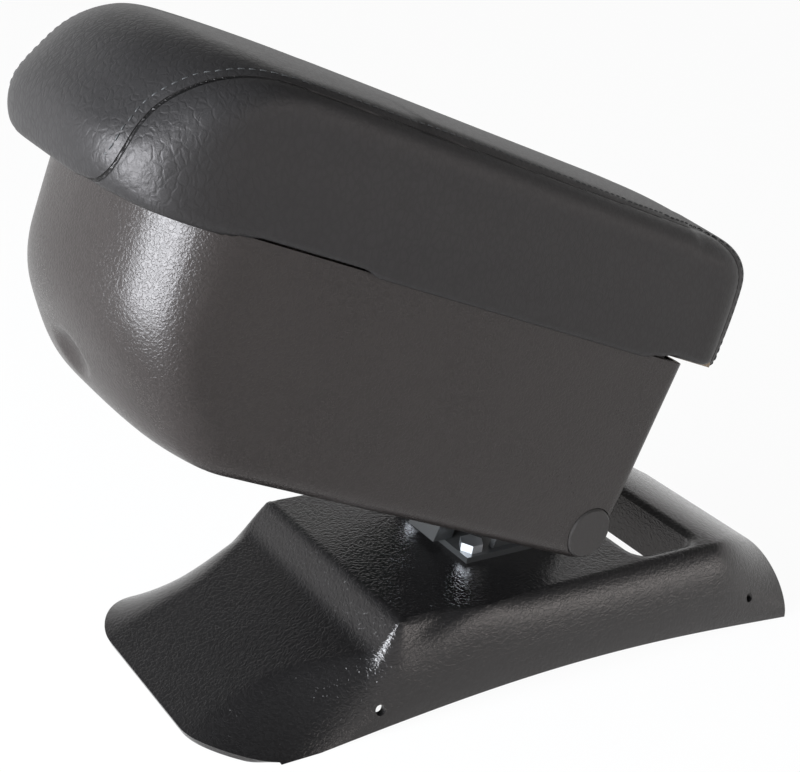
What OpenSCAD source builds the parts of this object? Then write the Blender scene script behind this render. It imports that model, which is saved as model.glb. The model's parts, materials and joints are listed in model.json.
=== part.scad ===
// Car centre armrest: a padded lid on a storage box that tilts on a moulded base plate.
// +X points to the rear, +Z up, and the part is symmetric about Y = 0.
// The origin is on the standing surface, below the middle of the overall box.
// The lid and box are drawn in their own frame: U runs to the rear along the lid,
// V is up, and the pivot shaft is at its origin.

/* [Placing] */
// Distance from the origin back to the pivot shaft
pivot_x = 48.5; // [30:0.5:70]
// Height of the pivot shaft above the standing surface
pivot_z = 72; // [68:1:80]
// Pitch of the lid and box on the base when they are down
rest_pitch = 18; // [12:1:20]

/* [Lid] */
// Lid's reach forward of the pivot
lid_front = 287; // [260:1:320]
// Lid's reach to the rear of the pivot
lid_rear = 43; // [38:1:50]
// Overall width of the lid
lid_w = 130; // [116:1:150]
// Height of the lid's lower edge above the pivot
lid_v = 85; // [80:1:100]
// Height of the lid at its middle
lid_h = 62; // [50:1:75]
// How much lower the lid's top is at the nose
lid_fall = 5; // [0:1:10]
// Rise of the crown across the lid
lid_crown = 6; // [2:1:10]
// Corner radius of the lid's nose in plan
nose_r = 46; // [30:1:50]
// Corner radius of the lid's rear end in plan
tail_r = 26; // [12:1:30]
// Radius in plan of the dome that rounds the nose off
dome_r = 110; // [100:1:130]
// Radius in plan of the dome that rounds the rear's upper corners off
tail_dome_r = 77; // [72:1:90]
// Distance of the rear dome's axis ahead of the lid's rear
tail_dome_in = 53; // [48:1:58]
// Thickness of the cover
cover_t = 1.4; // [1:0.1:2]
// Width of the cover's hem turned under the lid
hem_w = 14; // [12:1:20]
// Thickness of the lid board
board_t = 4; // [3:0.5:6]
// Thickness of the lining under the lid
lining_t = 2.4; // [2:0.1:3]
// Distance of the side seams below the lid's top edge
seam_drop = 5; // [4:1:12]
// Radius of the seam where it turns down at the nose
seam_nose_r = 46; // [20:1:50]
// Radius of the seam where it turns down at the rear
seam_tail_r = 26; // [15:1:35]

/* [Storage box] */
// Setback of the box's sides from the lid's sides
box_setback = 3; // [1:0.5:6]
// Setback of the box's front behind the lid's nose
box_front_setback = 24; // [18:1:32]
// Distance of the box's rear wall behind the pivot
box_rear = 14.5; // [14:0.5:18]
// Wall of the box
box_wall = 3; // [2.5:0.1:4]
// Radius of the box's front lower sweep
sweep_r = 50; // [30:1:55]
// Distance of the sweep's lower corner point behind the box's front
sweep_in = 32; // [26:1:38]
// Height above the pivot where the box's front starts to turn under
belly_v = 40; // [34:1:46]
// Distance of the turning point behind the box's front
belly_in = 2; // [1:0.5:6]
// Radius of the turn of the box's front
belly_r = 60; // [40:1:70]
// Radius in plan of the dome that rounds the box's front off
box_dome_r = 115; // [95:1:130]
// Radius of the box's lower long edges
box_edge_r = 9; // [5:1:12]
// Corner radius of the box's front in plan
box_front_r = 38; // [25:1:45]
// Corner radius of the box's rear in plan
box_rear_r = 9; // [6:1:12]
// Radius of the box's lobe below the pivot
lobe_r = 15.5; // [15:0.5:18]
// Height of the box's front lower corner point above the pivot
front_low = -1.5; // [-5:0.5:2]
// Gap between the lid and the box's rim
rim_gap = 0.3; // [0.2:0.1:1]
// Half width of the finger scoop
scoop_half = 19; // [11:0.5:24]
// Radius of the finger scoop at its middle
scoop_r = 15; // [12:1:18]
// Height of the finger scoop's centre above the pivot
scoop_v = 7; // [5:1:10]
// Distance of the finger scoop's centre behind the box's front
scoop_set = 14; // [9:0.5:15]

/* [Tray] */
// Wall of the inner tray
tray_wall = 2; // [1.6:0.1:3]
// Gap between the tray and the box
tray_gap = 0.3; // [0.2:0.1:0.6]
// Length of the tray's raised step forward of the pivot
step_len = 30; // [24:1:45]
// Height of the tray's raised step above the pivot
step_v = 19.5; // [19:0.5:26]

/* [Pivot] */
// Diameter of the pivot shaft
shaft_d = 10; // [8:0.5:12]
// Diameter of the shaft's threaded ends
thread_d = 8; // [6:0.5:8]
// Radial running clearance of the shaft in its bushes
run_gap = 0.05; // [0.02:0.01:0.1]
// Wall of the pivot bushes
bush_wall = 2; // [1.5:0.1:3]
// Thickness of the bushes' flanges
bush_flange_t = 1.8; // [1.2:0.1:2.5]
// Diameter of the pivot caps
cap_d = 24; // [22:0.5:26]
// Thickness of the pivot caps' discs
cap_t = 2.6; // [2:0.1:3]
// Shadow gap around the pivot caps
cap_gap = 0.4; // [0.2:0.1:0.8]
// Distance across the flats of the lock nuts
lock_af = 13; // [12:0.5:14]
// Thickness of the lock nuts
lock_t = 6.5; // [5:0.5:7]
// Thickness of the plain washers
washer_t = 1.4; // [1:0.1:2]

/* [Bracket] */
// Width of the bracket's foot
foot_w = 56; // [52:1:60]
// Reach of the foot forward of the pivot
foot_front = 39; // [38:1:44]
// Reach of the foot to the rear of the pivot
foot_rear = 32; // [30:1:34]
// Thickness of the bracket's steel
steel_t = 3; // [2.5:0.1:4]
// Distance between the insides of the ears
ear_gap = 44; // [42:1:46]
// Radius of the ears' round tops
ear_r = 14; // [12:0.5:14]
// Half width of the ears where they meet the foot
ear_foot = 22; // [18:1:22]
// Width of the stop post
post_w = 20; // [12:1:24]
// Thickness of the rubber rest buffer
buffer_t = 4; // [3:0.5:6]
// Gap between the rest buffer and the box
buffer_gap = 0.2; // [0.1:0.05:0.3]

/* [Fasteners] */
// Diameter of the bracket bolts
bolt_d = 6; // [5:0.5:6]
// Distance across the flats of the bolts' heads and nuts
bolt_af = 10; // [8:0.5:10]
// Height of the bolts' heads
bolt_head_t = 4; // [3:0.5:4]
// Thickness of the bracket nuts
bolt_nut_t = 5; // [4:0.5:6]
// Distance of the front bolts forward of the pivot
bolt_front = 32; // [31:0.5:33]
// Distance of the rear bolts behind the pivot
bolt_rear = 23; // [18:0.5:25]
// Distance of the front bolts from the middle
front_bolt_side = 21; // [19:0.5:22]
// Distance of the rear bolts from the middle
rear_bolt_side = 15; // [15:0.5:15.5]
// Diameter of the small screws
screw_d = 3; // [2.5:0.1:3]
// Diameter of the small screws' heads
screw_head_d = 6; // [5:0.5:6.5]
// Thickness of the small screws' heads
screw_head_t = 1.6; // [1:0.1:1.8]

/* [Hinge and catch] */
// Diameter of the lid hinge's knuckles
knuckle_d = 8; // [7:0.5:9]
// Diameter of the lid hinge's pin
hinge_pin_d = 4; // [3:0.5:4]
// Length of the lid hinge
hinge_len = 70; // [50:1:90]
// Thickness of the hinge leaves
leaf_t = 1.6; // [1.2:0.1:2]
// Height of the box's leaf
leaf_h = 20; // [16:1:24]
// Length of the lid's leaf behind the knuckles
leaf_len = 14; // [11:1:15]
// Gap between neighbouring knuckles
knuckle_gap = 0.4; // [0.2:0.1:1]
// Diameter of the catch magnet
magnet_d = 12; // [8:1:14]
// Thickness of the catch magnet
magnet_t = 5; // [3:0.5:6]
// Thickness of the catch plate
keeper_t = 1.2; // [0.8:0.1:1.5]

/* [Base plate] */
// Reach of the base forward of the pivot
base_front = 183; // [170:1:200]
// Reach of the base to the rear of the pivot
base_rear = 143; // [135:1:155]
// Height of the plateau above the standing surface
plateau_z = 46; // [42:1:48]
// Wall of the base plate
base_wall = 3; // [2.5:0.1:3.5]
// Half width of the flat plateau
plateau_half = 57; // [56.5:0.5:59]
// Half width across the flanges at the front
front_half = 68.5; // [66:0.5:72]
// Half width across the flanges at the rear
rear_half = 73; // [72:0.5:80]
// Height of the rear edge at the middle
rear_edge_z = 28; // [24:1:36]
// Height of the front edge at the middle
front_edge_z = 3.2; // [3:0.1:8]
// Height of the apron at the foot of the step
step_foot_z = 31; // [26:1:38]
// Distance of the step's foot forward of the pivot
step_foot = 107; // [104:1:112]
// Run of the step from its foot to the plateau
step_run = 13; // [8:1:16]
// Corner radius of the base's front in plan
front_corner_r = 35; // [25:1:40]
// Rise of the flanges' lower edge at its highest point
arch = 9.5; // [3:0.5:11]
// Distance of the highest point of the flanges' lower edge behind the pivot
arch_x = 5; // [-10:1:15]
// Narrowing of the flat middle of the apron on each side
apron_narrow = 22; // [14:1:26]
// Narrowing of the flat middle at the rear on each side
rear_narrow = 19; // [12:1:24]
// Distance from the pivot back to the pocket
pocket_near = 46; // [45.5:0.5:48]
// Length of the pocket
pocket_len = 39; // [30:1:41]
// Width of the pocket
pocket_w = 105; // [80:1:106]
// Depth of the pocket's walls
pocket_deep = 24; // [12:1:28]
// Corner radius of the pocket
pocket_r = 8; // [5:0.5:10]
// Diameter of the flange screw holes
hole_d = 4.6; // [4:0.1:5.5]
// Height of the rear flange screw holes
hole_z = 17; // [14:0.5:20]
// Height of the front flange screw holes
front_hole_z = 11.5; // [9:0.5:16]
// Distance of the front holes forward of the pivot
hole_front = 107; // [98:1:118]
// Distance of the rear holes behind the pivot
hole_rear = 114; // [104:1:122]

/* [Hidden] */
$fn = 64;
eps = 0.01;
big = 400;

box_w = lid_w - 2 * box_setback;
box_f = box_front_setback - lid_front;
lobe_low = lobe_r + 0.8;
rim_v = lid_v - rim_gap;
boss_r = shaft_d / 2 + run_gap + bush_wall + 3;
bush_r = shaft_d / 2 + run_gap + bush_wall;
ear_out = ear_gap / 2 + steel_t;
spring_len = 4.4;
side_play = 0.1;
boss_in = ear_out + side_play + spring_len + washer_t + side_play + bush_flange_t;
cap_seat = box_w / 2 - cap_t;
well_d = 20;
well_deep = 11;
well_y = cap_seat - well_deep;
mouth_half = boss_in - bush_flange_t - side_play;
mouth_r = ear_r + 3;
bolt_clear = 0.2;
hinge_u = box_rear + leaf_t + knuckle_d / 2 + 0.3;
hinge_v = lid_v - leaf_t - knuckle_d / 2 + 0.2;
bore_gap = 0.06;
foot_top = plateau_z + steel_t;
magnet_u = box_f + box_wall + tray_gap + tray_wall + 13;
magnet_v = lid_v - lining_t - 0.4;
screw_grip = 5;
lining_screw_reach = [0.74, 0.425, 0.11];
lining_screw_in = 19;

// Unit vector, and the inward normal of a counterclockwise edge
function unit(v) = v / norm(v);
function inward(a, b) = let (d = unit([b.x - a.x, b.y - a.y])) [-d.y, d.x];

// Point at distance t inside both edges that meet at b
function inner_corner(a, b, c, t) =
    let (m = inward(a, b), n = inward(b, c))
    [b.x, b.y] + (m + n) * t / (1 + m * n);

// Arc of one rounded corner, set in by t: each corner is [x, y, radius]
function corner_arc(a, b, c, t) =
    let (
        centre = inner_corner(a, b, c, b[2]),
        m = inward(a, b),
        n = inward(b, c),
        from = atan2(-m.y, -m.x),
        turn = (atan2(-n.y, -n.x) - from + 720) % 360,
        steps = max(2, ceil(turn / 6)))
    b[2] > t + 0.05
    ? [for (i = [0 : steps]) centre + (b[2] - t) * [cos(from + turn * i / steps), sin(from + turn * i / steps)]]
    : [inner_corner(a, b, c, t)];

// Outline of a convex counterclockwise list of [x, y, radius] corners, set in by t
function outline(corners, t) =
    let (n = len(corners))
    [for (i = [0 : n - 1]) each corner_arc(corners[(i + n - 1) % n], corners[i], corners[(i + 1) % n], t)];

// Lid outlines: side view, section across and plan
function lid_side() = [
    [-lid_front + 9, lid_v, 5],
    [lid_rear, lid_v, 5],
    [lid_rear - 14, lid_v + lid_h, 34],
    [-lid_front + 19, lid_v + lid_h - lid_fall, 30],
    [-lid_front, lid_v + 17, 22]];
function lid_section() = [
    [-lid_w / 2 + 3, lid_v, 5],
    [lid_w / 2 - 3, lid_v, 5],
    [lid_w / 2, lid_v + 18, 30],
    [lid_w / 2 - 1.5, lid_v + lid_h - lid_crown, 13],
    [0, lid_v + lid_h + 1, 180],
    [-lid_w / 2 + 1.5, lid_v + lid_h - lid_crown, 13],
    [-lid_w / 2, lid_v + 18, 30]];
function lid_plan() = [
    [-lid_front + 3, -lid_w / 2, nose_r],
    [lid_rear, -lid_w / 2, tail_r],
    [lid_rear, lid_w / 2, tail_r],
    [-lid_front + 3, lid_w / 2, nose_r],
    [-lid_front, 0, 60]];
// Sections of the front and rear domes, with their axes moved out by the inset
function lid_dome(t) = [
    [-t, lid_v, 0],
    [dome_r - 6, lid_v, 5],
    [dome_r + 1, lid_v + 12, 12],
    [dome_r - 18, lid_v + lid_h - 9.5, 42],
    [-t, lid_v + lid_h + 5, 0]];
function lid_tail(t) = [
    [-t, lid_v, 0],
    [tail_dome_r, lid_v, 3],
    [tail_dome_r - 8.5, lid_v + lid_h - 6, 20],
    [-t, lid_v + lid_h + 3, 0]];

// Box outlines: the top corners can be raised for a cavity
function box_side(top) =
    [
    [box_f + sweep_in, front_low, sweep_r],
    [box_rear, -lobe_low, lobe_r],
    [box_rear, top, 0],
    [box_f - belly_in * (top - rim_v) / (rim_v - belly_v), top, 0],
    [box_f + belly_in, belly_v, belly_r]];
function box_plan() = [
    [box_f + 4, -box_w / 2, box_front_r],
    [box_rear, -box_w / 2, box_rear_r],
    [box_rear, box_w / 2, box_rear_r],
    [box_f + 4, box_w / 2, box_front_r],
    [box_f, 0, 60]];

// Section of the box's front dome, with its axis moved out by the inset
function box_dome(t, top) = [
    [-t, -30, 0],
    [box_dome_r - 49, -30, 0],
    [box_dome_r - 4, belly_v - 4, belly_r],
    [box_dome_r - 4 + 4.5 * (top + 4 - belly_v) / (rim_v + 4 - belly_v), top, 0],
    [-t, top, 0]];
function box_section() = [
    [-box_w / 2, 0, box_edge_r],
    [box_w / 2, 0, box_edge_r],
    [box_w / 2, big / 2, 0],
    [-box_w / 2, big / 2, 0]];

// Frame of the lid and box, resting on the base
module arm_frame() {
    translate([pivot_x, 0, pivot_z]) rotate([0, rest_pitch, 0]) children();
}

// Prisms along Y, Z and X from outlines in side view, plan and section
module side_prism(points, half) {
    translate([0, half, 0]) rotate([90, 0, 0]) linear_extrude(2 * half) polygon(points);
}

module plan_prism(points, from, to) {
    translate([0, 0, from]) linear_extrude(to - from) polygon(points);
}

module section_prism(points, from, to) {
    translate([from, 0, 0]) rotate([90, 0, 90]) linear_extrude(to - from) polygon(points);
}

// Cylinder along Y between two Y values
module rod(d, from, to) {
    translate([0, to, 0]) rotate([90, 0, 0]) cylinder(d = d, h = to - from);
}

// Padded body of the lid, set in by t
module lid_body(t) {
    intersection() {
        side_prism(outline(lid_side(), t), lid_w);
        section_prism(outline(lid_section(), t), -big, big);
        plan_prism(outline(lid_plan(), t), 0, big / 2);
        translate([dome_r - lid_front, 0, 0])
            union() {
                rotate_extrude($fn = 180) polygon(outline(lid_dome(t), t));
                translate([0, -lid_w, 0]) cube([big, 2 * lid_w, big]);
            }
        translate([lid_rear - tail_dome_in, 0, 0])
            union() {
                rotate_extrude($fn = 180) polygon(outline(lid_tail(t), t));
                translate([-big, -lid_w, 0]) cube([big, 2 * lid_w, big]);
            }
    }
}

// Body of the storage box, set in by t and cut off at a top height
module box_body(t, top) {
    tilt = atan2(front_low + lobe_low, box_rear - box_f - sweep_in);
    intersection() {
        side_prism(outline(box_side(top + t), t), box_w);
        plan_prism(outline(box_plan(), t), -big / 2, big / 2);
        translate([box_rear, 0, -lobe_low]) rotate([0, tilt, 0])
            section_prism(outline(box_section(), t), -big, big / 2);
        translate([box_f + box_dome_r, 0, 0])
            union() {
                rotate_extrude($fn = 180) polygon(outline(box_dome(t, top + t), t));
                translate([0, -box_w, -big / 2]) cube([big, 2 * box_w, big]);
            }
    }
}

// Barrel that the fingers reach into at the box's front
module scoop_barrel(grow) {
    bow = scoop_r * 0.45;
    bow_r = (scoop_half * scoop_half + bow * bow) / (2 * bow);
    half = scoop_half + grow;
    translate([box_f + scoop_set, 0, scoop_v])
        rotate([90, 0, 0])
            rotate_extrude()
                polygon(concat([[0, -half]],
                    [for (i = [-6 : 6]) [scoop_r - bow_r + sqrt(bow_r * bow_r - pow(i * scoop_half / 6, 2)) + grow,
                        i * half / 6]],
                    [[0, half]]));
}

// Base plate: middle height, flat half width and flange half width along the base
function ease(t) = t <= 0 ? 0 : t >= 1 ? 1 : t * t * (3 - 2 * t);
function middle_z(x) =
    x < -step_foot
    ? let (t = (x + base_front) / (base_front - step_foot))
        front_edge_z + (step_foot_z - front_edge_z) * (1.4 * t - 0.4 * t * t)
    : x < -step_foot + step_run
    ? step_foot_z + (plateau_z - step_foot_z) * ease((x + step_foot) / step_run)
    : plateau_z + (rear_edge_z - plateau_z) * ease((x - fall_start) / (2 * (base_rear - fall_start))) * 2;
function flat_half(x) =
    plateau_half - apron_narrow * ease((-step_foot + step_run + 6 - x) / 60)
    - rear_narrow * ease((x - fall_start) / (base_rear - fall_start));
function flange_half(x) =
    front_half + (rear_half - front_half) * ease((x + base_front) / (base_front + base_rear));
function foot_z(x) =
    arch * cos(90 * min(1, max(-1, (x - arch_x) / (base_rear - 2))));
fall_start = pocket_near + pocket_len + base_wall + 2;

// One side of a section: level start at the shoulder, nearly upright end at the flange's foot
function bend(p, q, r, s, t) =
    p * pow(1 - t, 3) + q * 3 * t * pow(1 - t, 2) + r * 3 * t * t * (1 - t) + s * t * t * t;
function shoulder(x, t, inset) =
    let (
        a = flat_half(x),
        b = flange_half(x),
        h = middle_z(x),
        e = foot_z(x),
        steep = ease((x + base_front) / 110),
        p = [a, h],
        q = [a + (b - a) * (0.28 + 0.26 * steep), h],
        r = [b - (b - a) * 0.23 * (1 - steep), e + (h - e) * (0.29 + 0.06 * steep)],
        s = [b, e],
        d = unit(bend(p, q, r, s, min(1, t + 0.01)) - bend(p, q, r, s, max(0, t - 0.01))))
    bend(p, q, r, s, t) + inset * [d.y, -d.x];

// Plan position of the front edge for a nominal distance from the middle
function front_x(y) =
    let (over = max(0, abs(y) - (front_half - front_corner_r)))
    -base_front + front_corner_r - sqrt(max(0, pow(front_corner_r, 2) - pow(min(over, front_corner_r - 0.6), 2)));

// Grid of the base: columns across, rows along
flat_cols = 4;
bend_cols = 9;
function column(j) =
    j < bend_cols ? [-1, 1 - j / bend_cols]
    : j <= bend_cols + flat_cols ? [2 * (j - bend_cols) / flat_cols - 1, 0]
    : [1, (j - bend_cols - flat_cols) / bend_cols];
columns = 2 * bend_cols + flat_cols;
function base_point(x, j, inset) =
    let (c = column(j), t = c[1])
    t > 0
    ? let (q = shoulder(x, t, inset)) [c[0] * q.x, q.y]
    : [c[0] * flat_half(x), middle_z(x) - inset];
front_rows = [for (i = [0 : 7]) i / 7];
function row_x(i, y) =
    i < 8 ? front_x(y) + (-step_foot - front_x(y)) * front_rows[i]
    : i < 12 ? -step_foot + step_run * (i - 7) / 5
    : i == 12 ? -step_foot + step_run
    : i < 19 ? -step_foot + step_run + (fall_start + step_foot - step_run) * (i - 12) / 7
    : fall_start + (base_rear - fall_start) * (i - 19) / 6;
rows = 25;
function grid(inset) = [
    for (i = [0 : rows]) for (j = [0 : columns])
        let (
            nominal = base_point(-base_front + front_corner_r, j, 0)[0],
            x = row_x(i, nominal),
            q = base_point(x, j, inset))
        [x, q.x, max(q.y, 0)]];

// Two triangles of a quad, clockwise as seen from outside
function quad(a, b, c, d) = [[a, b, c], [a, c, d]];

module base_skin() {
    w = columns + 1;
    n = (rows + 1) * w;
    rear = rows * w;
    points = concat(grid(0), grid(base_wall));
    top = [for (i = [0 : rows - 1]) for (j = [0 : columns - 1])
        let (k = i * w + j)
        each quad(k, k + 1, k + w + 1, k + w)];
    under = [for (f = top) [n + f[0], n + f[2], n + f[1]]];
    front_rim = [for (j = [0 : columns - 1]) each quad(j, n + j, n + j + 1, j + 1)];
    rear_rim = [for (j = [rear : rear + columns - 1]) each quad(j, j + 1, n + j + 1, n + j)];
    near_rim = [for (k = [0 : w : rear - w]) each quad(k, k + w, n + k + w, n + k)];
    far_rim = [for (k = [columns : w : rear - 1]) each quad(k, n + k, n + k + w, k + w)];
    polyhedron(points, concat(top, under, front_rim, rear_rim, near_rim, far_rim));
}

module pocket_outline(grow) {
    polygon(outline([
        [pocket_near - grow, -pocket_w / 2 - grow, pocket_r + grow],
        [pocket_near + pocket_len + grow, -pocket_w / 2 - grow, pocket_r + grow],
        [pocket_near + pocket_len + grow, pocket_w / 2 + grow, pocket_r + grow],
        [pocket_near - grow, pocket_w / 2 + grow, pocket_r + grow]], 0));
}

module at_bolts() {
    for (side = [-1, 1]) {
        translate([pivot_x - bolt_front, side * front_bolt_side, 0]) children();
        translate([pivot_x + bolt_rear, side * rear_bolt_side, 0]) children();
    }
}

module base_plate() {
    color([0.06, 0.06, 0.065])
        difference() {
            union() {
                translate([pivot_x, 0, 0]) base_skin();
                translate([pivot_x, 0, plateau_z - pocket_deep]) linear_extrude(pocket_deep) pocket_outline(base_wall);
            }
            translate([pivot_x, 0, plateau_z - pocket_deep - 1]) linear_extrude(pocket_deep + 2) pocket_outline(0);
            for (hole = [[-hole_front, front_hole_z], [hole_rear, hole_z]])
                for (side = [0, 1])
                    mirror([0, side, 0])
                        translate([pivot_x + hole.x, 0, hole.y]) rod(hole_d, front_half / 2, big / 2);
            at_bolts() translate([0, 0, plateau_z - 10]) cylinder(d = bolt_d + bolt_clear, h = 20);
        }
}

// Pressed-steel bracket: foot, two ears and the stop post
module bracket() {
    color([0.1, 0.1, 0.1])
        difference() {
            union() {
                translate([pivot_x - foot_front, -foot_w / 2, plateau_z])
                    cube([foot_front + foot_rear, foot_w, steel_t]);
                for (side = [-1, 1])
                    translate([pivot_x, side * (ear_gap + steel_t) / 2, 0]) ear();
                stop_post();
            }
            translate([pivot_x, 0, pivot_z]) rod(shaft_d, -ear_out - 1, ear_out + 1);
            at_bolts() translate([0, 0, plateau_z - 1]) cylinder(d = bolt_d + bolt_clear, h = steel_t + 2);
        }
}

module ear() {
    drop = pivot_z - foot_top;
    translate([0, 0, pivot_z]) {
        rod(2 * ear_r, -steel_t / 2, steel_t / 2);
        side_prism([[-ear_foot, -drop - eps], [ear_foot, -drop - eps], [ear_r, 0], [-ear_r, 0]], steel_t / 2);
    }
}

// Line of the box's underside, where the stop post and buffer meet it
function under_v(u) = -lobe_low + (box_rear - u) * (front_low + lobe_low) / (box_rear - box_f - sweep_in);
post_u = -26;
post_len = 10;

module stop_post() {
    intersection() {
        arm_frame()
            side_prism([
                [post_u - post_len, -60], [post_u, -60],
                [post_u, under_v(post_u) - buffer_gap - buffer_t],
                [post_u - post_len, under_v(post_u - post_len) - buffer_gap - buffer_t]], post_w / 2);
        translate([-big / 2, -big / 2, foot_top - eps]) cube([big, big, big]);
    }
}

module rest_buffer() {
    color([0.05, 0.05, 0.05])
        arm_frame()
            side_prism([
                [post_u - post_len, under_v(post_u - post_len) - buffer_gap - buffer_t],
                [post_u, under_v(post_u) - buffer_gap - buffer_t],
                [post_u, under_v(post_u) - buffer_gap],
                [post_u - post_len, under_v(post_u - post_len) - buffer_gap]], post_w / 2);
}

// Fasteners of the bracket
module bracket_bolts() {
    length = steel_t + base_wall + steel_t + bolt_nut_t + 1;
    color([0.72, 0.73, 0.74])
        at_bolts() {
            translate([0, 0, foot_top]) cylinder(d = bolt_af / cos(30), h = bolt_head_t, $fn = 6);
            translate([0, 0, foot_top - length]) cylinder(d = bolt_d, h = length);
        }
}

module backing_plate() {
    color([0.6, 0.6, 0.62])
        difference() {
            translate([pivot_x - foot_front, -foot_w / 2, plateau_z - base_wall - steel_t])
                cube([foot_front + foot_rear, foot_w, steel_t]);
            at_bolts() translate([0, 0, plateau_z - 15]) cylinder(d = bolt_d + bolt_clear, h = 20);
        }
}

module bracket_nuts() {
    color([0.72, 0.73, 0.74])
        at_bolts()
            translate([0, 0, plateau_z - base_wall - steel_t - bolt_nut_t])
                difference() {
                    cylinder(d = bolt_af / cos(30), h = bolt_nut_t, $fn = 6);
                    translate([0, 0, -1]) cylinder(d = bolt_d, h = bolt_nut_t + 2);
                }
}

// Pivot: shaft, springs, washers and nuts, the same on both sides
module on_both_sides() {
    for (side = [0, 1])
        translate([pivot_x, 0, pivot_z]) mirror([0, side, 0]) children();
}

shaft_half = well_y - side_play;
nut_y = well_y + washer_t + side_play;

module pivot_shaft() {
    color([0.7, 0.7, 0.72])
        translate([pivot_x, 0, pivot_z]) {
            rod(shaft_d, -shaft_half, shaft_half);
            rod(thread_d, -nut_y - lock_t - 0.5, nut_y + lock_t + 0.5);
        }
}

// Two coned springs, nested tip to tip
module disc_springs() {
    color([0.5, 0.5, 0.52])
        on_both_sides()
            translate([0, ear_out + side_play / 2, 0]) rotate([-90, 0, 0])
                for (half = [0, 1])
                    translate([0, 0, half * spring_len]) mirror([0, 0, half])
                        rotate_extrude()
                            polygon([[shaft_d / 2 + 0.1, spring_len / 2 - 1], [bush_r + 2, 0], [bush_r + 2, 1],
                                [shaft_d / 2 + 0.1, spring_len / 2]]);
}

module ring(inner, outer, from, to) {
    difference() {
        rod(outer, from, to);
        rod(inner, from - 1, to + 1);
    }
}

module plain_washers() {
    start = ear_out + side_play + spring_len;
    color([0.72, 0.73, 0.74])
        on_both_sides() ring(shaft_d + 0.2, 2 * bush_r + 4, start, start + washer_t);
}

module outer_washers() {
    color([0.72, 0.73, 0.74])
        on_both_sides() ring(thread_d + 0.2, 2 * bush_r + 3, well_y + side_play / 2, well_y + side_play / 2 + washer_t);
}

module lock_nuts() {
    color([0.72, 0.73, 0.74])
        on_both_sides()
            difference() {
                translate([0, nut_y, 0]) rotate([-90, 0, 0]) cylinder(d = lock_af / cos(30), h = lock_t, $fn = 6);
                rod(thread_d, nut_y - 1, nut_y + lock_t + 1);
            }
}

// Flanged bush between the shaft and the box's boss
module bush(side) {
    color([0.85, 0.84, 0.78])
        translate([pivot_x, 0, pivot_z]) mirror([0, side, 0])
            difference() {
                union() {
                    rod(2 * bush_r, boss_in - bush_flange_t, well_y);
                    rod(2 * bush_r + 4, boss_in - bush_flange_t, boss_in);
                }
                rod(shaft_d + 2 * run_gap, boss_in - bush_flange_t - 1, well_y + 1);
            }
}

module bush_left() {
    bush(0);
}

module bush_right() {
    bush(1);
}

// Round cap over the end of the pivot, domed by a shallow cone ring
module pivot_cap(side) {
    color([0.07, 0.07, 0.075])
        arm_frame() mirror([0, side, 0])
            translate([0, cap_seat, 0]) rotate([-90, 0, 0]) {
                cylinder(d = cap_d, h = cap_t - 0.6);
                translate([0, 0, cap_t - 0.6]) cylinder(d1 = cap_d, d2 = cap_d - 1.6, h = 0.8);
                translate([0, 0, -2])
                    difference() {
                        cylinder(d = well_d - 0.1, h = 2);
                        translate([0, 0, -1]) cylinder(d = well_d - 3, h = 3);
                    }
            }
}

module cap_left() {
    pivot_cap(0);
}

module cap_right() {
    pivot_cap(1);
}

// Storage box: shell with pivot bosses, scoop, mouth for the bracket and screw seats
module box_shell() {
    color([0.09, 0.09, 0.1])
        arm_frame()
            difference() {
                union() {
                    difference() {
                        box_body(0, rim_v);
                        box_body(box_wall, rim_v + 10);
                    }
                    intersection() {
                        box_body(0, rim_v);
                        union() {
                            for (side = [0, 1])
                                mirror([0, side, 0]) {
                                    rod(2 * boss_r, boss_in, box_w / 2 - 1);
                                    rod(well_d + 5, well_y - 3, box_w / 2 - 1);
                                    translate([-5, boss_in, 0]) cube([10, box_w / 2 - 1 - boss_in, step_v]);
                                }
                            scoop_barrel(box_wall);
                        }
                    }
                }
                scoop_barrel(0);
                rod(2 * bush_r, -box_w, box_w);
                for (side = [0, 1])
                    mirror([0, side, 0]) {
                        rod(cap_d + 2 * cap_gap, cap_seat, box_w);
                        rod(well_d, well_y, box_w);
                        translate([0, tray_screw_y, step_v - screw_grip]) cylinder(d = screw_d, h = screw_grip + 1);
                    }
                rod(2 * mouth_r, -mouth_half, mouth_half);
                translate([-mouth_r, -mouth_half, -big / 4]) cube([big, 2 * mouth_half, big / 4]);
                translate([0, -mouth_half, -eps]) cube([big, 2 * mouth_half, ear_r + 2]);
                at_box_screws() rotate([0, -90, 0]) translate([0, 0, -1]) cylinder(d = screw_d, h = box_wall + 2);
            }
}

// Inner tray: follows the box and steps up over the pivot
tray_screw_y = boss_in + 6;

module tray_form(t) {
    difference() {
        box_body(box_wall + tray_gap + t, rim_v + (t > 0 ? 10 : -1));
        translate([-step_len - t, -box_w, -big / 2]) cube([big, 2 * box_w, big / 2 + step_v + t]);
        scoop_barrel(box_wall + tray_gap + t);
    }
}

module tray() {
    post = [magnet_u, 0];
    color([0.12, 0.12, 0.13])
        arm_frame()
            difference() {
                union() {
                    difference() {
                        tray_form(0);
                        tray_form(tray_wall);
                    }
                    intersection() {
                        tray_form(0);
                        translate([post.x - big / 4, -magnet_d / 2 - 2, magnet_v - magnet_t - 6])
                            cube([big / 4, magnet_d + 4, magnet_t + 6]);
                    }
                    translate([post.x, 0, magnet_v - magnet_t - 6]) cylinder(d = magnet_d + 4, h = magnet_t + 6);
                }
                translate([post.x, 0, magnet_v - magnet_t]) cylinder(d = magnet_d, h = magnet_t + 1);
                translate([-big / 2, -big / 2, magnet_v]) cube([big, big, big]);
                for (y = [-tray_screw_y, tray_screw_y])
                    translate([0, y, step_v - 1]) cylinder(d = screw_d + 0.4, h = 10);
            }
}

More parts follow.
